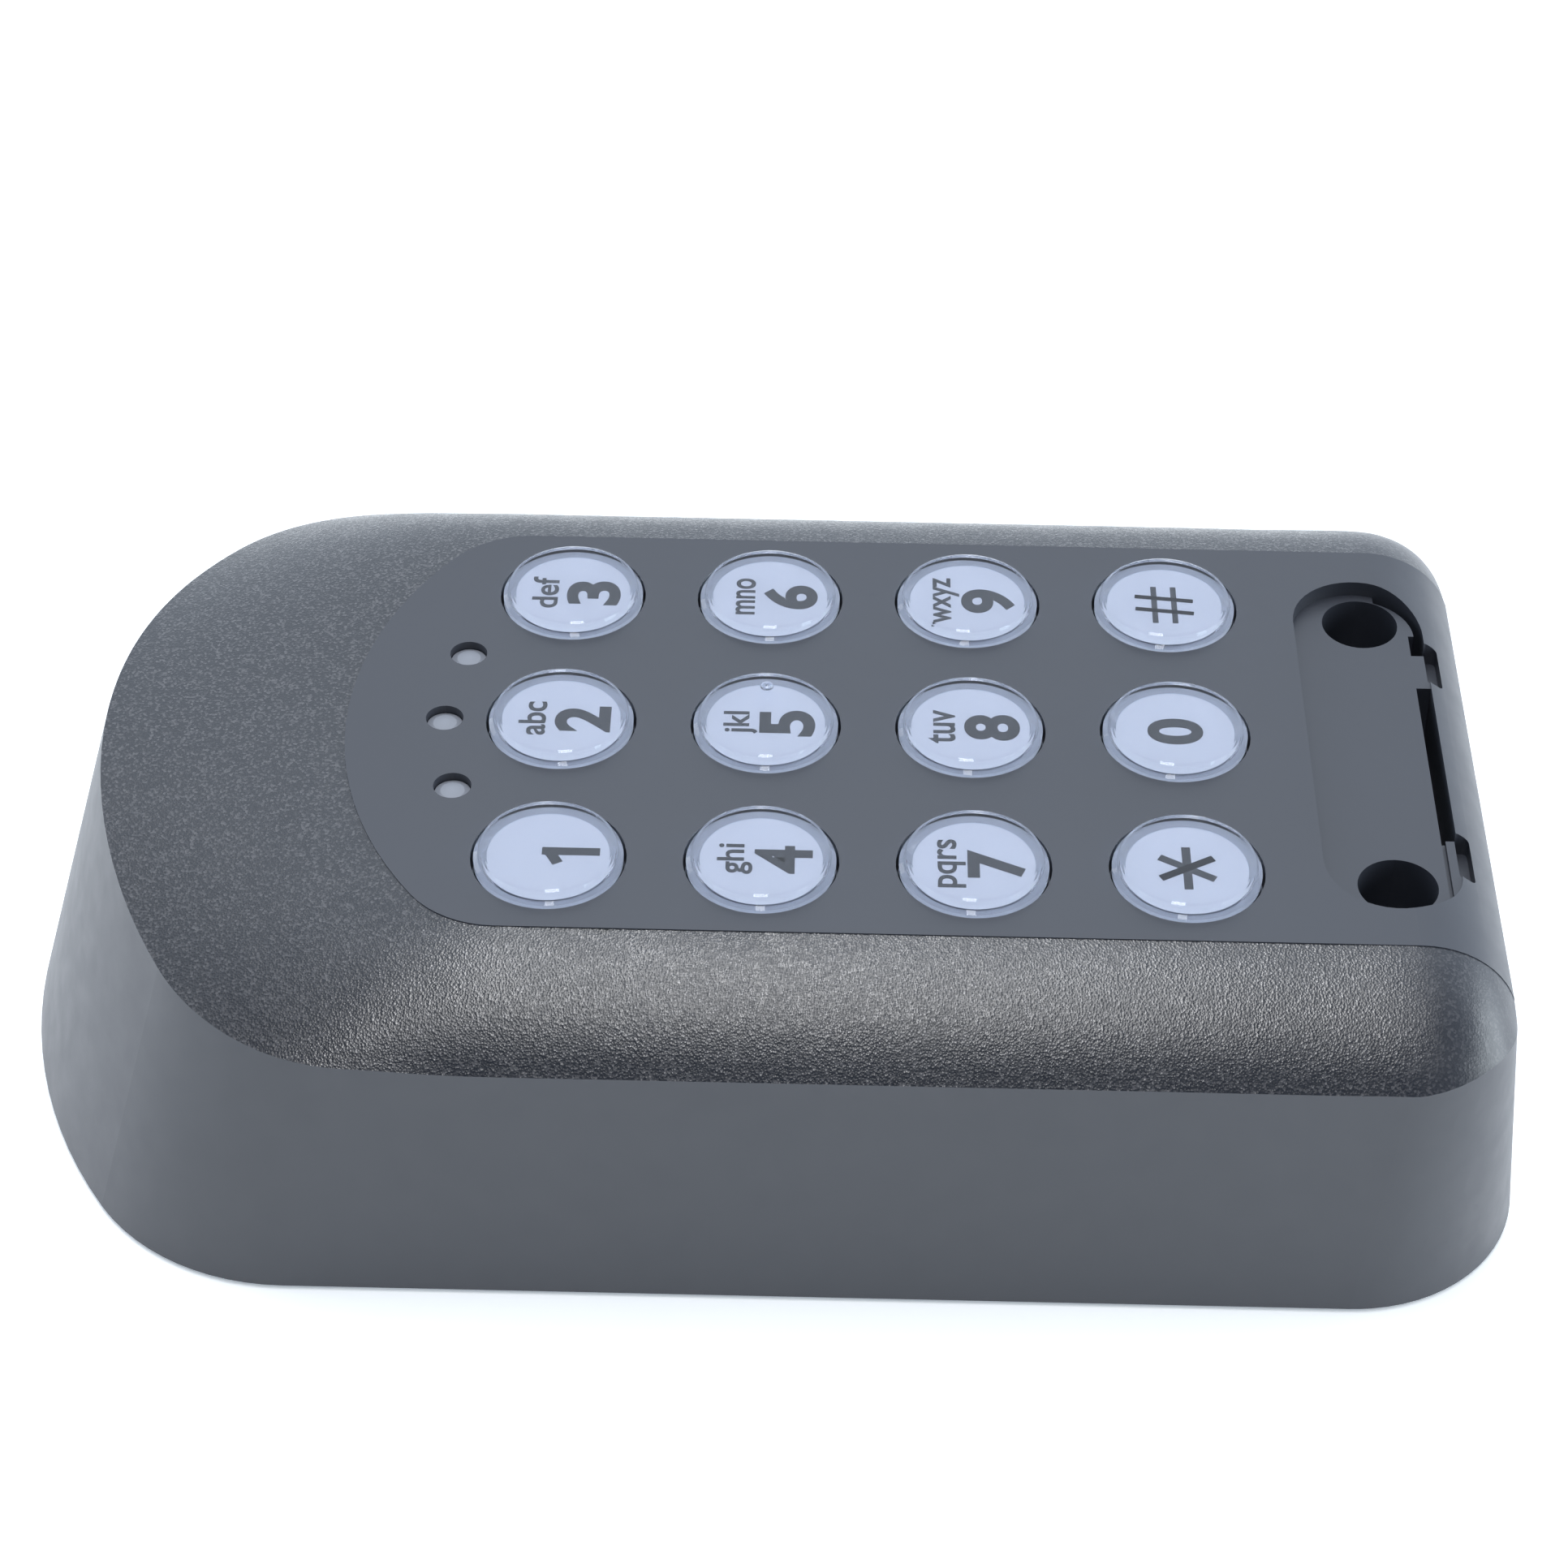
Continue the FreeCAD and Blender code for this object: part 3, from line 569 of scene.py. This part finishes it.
def opened_cell(x, y, z, cell, upward):
    """One key's share of the sheet's face at z, as a ring of quads round the dome's opening."""
    x0, x1, y0, y1 = cell
    vertices, faces = [], []
    for k in range(SIDES):
        a = 2 * math.pi * (k + 0.5) / SIDES
        dx, dy = math.cos(a), math.sin(a)
        edge_x = (x1 - x) / dx if dx > 0 else (x0 - x) / dx
        edge_y = (y1 - y) / dy if dy > 0 else (y0 - y) / dy
        for run in (DOME_OPENING, min(edge_x, edge_y)):
            vertices.append((x + run * dx, y + run * dy, z))
        here, there = 2 * k, (2 * k + 2) % (2 * SIDES)
        quad = (here, here + 1, there + 1, there)
        faces.append(quad if upward else quad[::-1])
    return vertices, faces


def add_mat():
    """Silicone sheet, and a dome under each key."""
    low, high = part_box("keypad_mat")
    sheet_top = low.z + SHEET_T
    xs = sorted({KEY_AT[k].x for k in KEY_NAMES})
    ys = sorted({KEY_AT[k].y for k in KEY_NAMES})
    half = (xs[1] - xs[0]) / 2
    vertices, faces = [], []
    for z in (low.z, sheet_top):
        for x in xs:
            for y in ys:
                x0 = low.x if x == xs[0] else x - half
                x1 = high.x if x == xs[-1] else x + half
                y0 = low.y if y == ys[0] else y - half
                y1 = high.y if y == ys[-1] else y + half
                first = len(vertices)
                points, quads = opened_cell(x, y, z, (x0, x1, y0, y1), z == sheet_top)
                vertices += points
                faces += [[first + n for n in quad] for quad in quads]
    sheet = add_mesh("mat_sheet", vertices, faces, "housing", "silicone", smooth=False)
    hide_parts("keypad_mat")
    top = STEM_Z - 0.05 * MM
    foot = sheet_top - 0.1 * MM
    profile = [
        (AXIS_R, top),
        (2.2 * MM, top),
        (2.6 * MM, top - 0.15 * MM),
        (2.9 * MM, top - 0.6 * MM),
        (4.4 * MM, foot + 0.2 * MM),
        (4.6 * MM, foot),
        (4.0 * MM, foot),
        (2.2 * MM, top - DOME_T - 0.2 * MM),
        (1.9 * MM, top - DOME_T),
        (AXIS_R, top - DOME_T),
    ]
    for key in KEY_NAMES:
        dome = turned("mat_dome_" + key, KEY_AT[key], profile, "housing", "silicone", 40)
        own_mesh(dome)


WIRE_R = 0.22 * MM
COIL_TURNS = 5
TURN_STEPS = 32
WIRE_SIDES = 10


def add_spring():
    """Round-wire coil that stretches between the switch case and the tamper pin's collar."""
    low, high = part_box("tamper_spring")
    centre = (low + high) / 2
    radius = (high.x - low.x) / 2 - WIRE_R * 1.1
    rise = high.z - low.z - 2 * WIRE_R
    count = COIL_TURNS * TURN_STEPS
    vertices, faces = [], []
    for k in range(count + 1):
        angle = 2 * math.pi * k / TURN_STEPS
        z = low.z + WIRE_R + rise * k / count
        out = Vector((math.cos(angle), math.sin(angle), 0))
        for j in range(WIRE_SIDES):
            a = 2 * math.pi * j / WIRE_SIDES
            at = centre + out * (radius + WIRE_R * math.cos(a))
            vertices.append((at.x, at.y, z + WIRE_R * math.sin(a)))
    for k in range(count):
        here, there = k * WIRE_SIDES, (k + 1) * WIRE_SIDES
        for j in range(WIRE_SIDES):
            i = (j + 1) % WIRE_SIDES
            faces.append((here + j, there + j, there + i, here + i))
    faces.append(tuple(range(WIRE_SIDES)))
    faces.append(tuple(count * WIRE_SIDES + j for j in reversed(range(WIRE_SIDES))))
    mesh = bpy.data.meshes.new("spring_coil")
    mesh.from_pydata(vertices, [], faces)
    mesh.polygons.foreach_set("use_smooth", [True] * len(mesh.polygons))
    mesh.materials.append(FINISHES["steel"])
    coil = bpy.data.objects.new("spring_coil", mesh)
    bpy.context.scene.collection.objects.link(coil)
    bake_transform(coil)
    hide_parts("tamper_spring")


# ---------------------------------------------------------------- studio
DARK_SIDE = Vector((-0.85, -0.1, 0.5))  # towards the dark part of the surroundings
DARK_EDGE = (-0.35, 0.9)  # cosines of the angle from there: where it fades in, and where it is full
SKY_TINT = (0.8, 0.89, 1.0, 1.0)
SKY_LEVEL = 1.3
DARK_LEVEL = 0.02
FLOOR_HALF = 3.0
FLOOR_Z = -0.0002
FLOOR_GLOW = (0.8, 0.9, 1.0, 1.0)  # the floor is a light table
FLOOR_GLOW_LEVEL = 0.38
LAMPS = (  # name, place, aim, size, power, tint
    ("overhead", (-0.08, 0.0, 0.8), (0, 0, 0), (0.12, 1.0), 5.0, (1.0, 1.0, 1.0)),
    ("square_end", (-0.1, -0.8, 0.22), (0, 0, 0.02), (0.9, 0.4), 5.0, (0.88, 0.96, 1.0)),
    ("round_end", (0.3, 0.8, 0.22), (0, 0, 0.02), (0.9, 0.4), 3.2, (0.93, 0.97, 1.0)),
)


def add_floor():
    size = FLOOR_HALF
    corners = [(-size, -size), (size, -size), (size, size), (-size, size)]
    mesh = bpy.data.meshes.new("floor")
    mesh.from_pydata([(x, y, FLOOR_Z) for x, y in corners], [], [(0, 1, 2, 3)])
    floor = bpy.data.objects.new("floor", mesh)
    bpy.context.scene.collection.objects.link(floor)
    glow = {"emission_color": FLOOR_GLOW, "emission_strength": FLOOR_GLOW_LEVEL}
    mesh.materials.append(moulded("floor", (250, 250, 250), 0.6, 4.0, 0.0, 0.01, **glow))


def add_lamp(name, at, aim, size, power, tint):
    data = bpy.data.lights.new(name, "AREA")
    data.shape = "RECTANGLE"
    data.size, data.size_y = size
    data.energy = power
    data.color = tint
    lamp = bpy.data.objects.new(name, data)
    bpy.context.scene.collection.objects.link(lamp)
    turn = (Vector(aim) - Vector(at)).to_track_quat("-Z", "Y").to_matrix().to_4x4()
    lamp.matrix_world = Matrix.Translation(Vector(at)) @ turn


def add_light():
    """Bright even surroundings, darker behind the camera, with a long soft box above the keys."""
    world = bpy.data.worlds.new("studio")
    world.use_nodes = True
    nodes, links = world.node_tree.nodes, world.node_tree.links
    towards = nodes.new("ShaderNodeTexCoord").outputs["Generated"]
    side = nodes.new("ShaderNodeVectorMath")
    side.operation = "DOT_PRODUCT"
    side.inputs[1].default_value = DARK_SIDE.normalized()
    links.new(towards, side.inputs[0])
    level = nodes.new("ShaderNodeMapRange")
    level.interpolation_type = "SMOOTHSTEP"
    for socket, value in enumerate((*DARK_EDGE, SKY_LEVEL, DARK_LEVEL), 1):
        level.inputs[socket].default_value = value
    links.new(side.outputs["Value"], level.inputs[0])
    background = nodes["Background"]
    background.inputs["Color"].default_value = SKY_TINT
    links.new(level.outputs[0], background.inputs["Strength"])
    bpy.context.scene.world = world
    bpy.context.scene.view_settings.view_transform = "Standard"
    for lamp in LAMPS:
        add_lamp(*lamp)


add_camera()
dress_cad_nodes()
add_legends()
add_serrations()
add_touch_mark()
add_mat()
add_spring()
add_floor()
add_light()
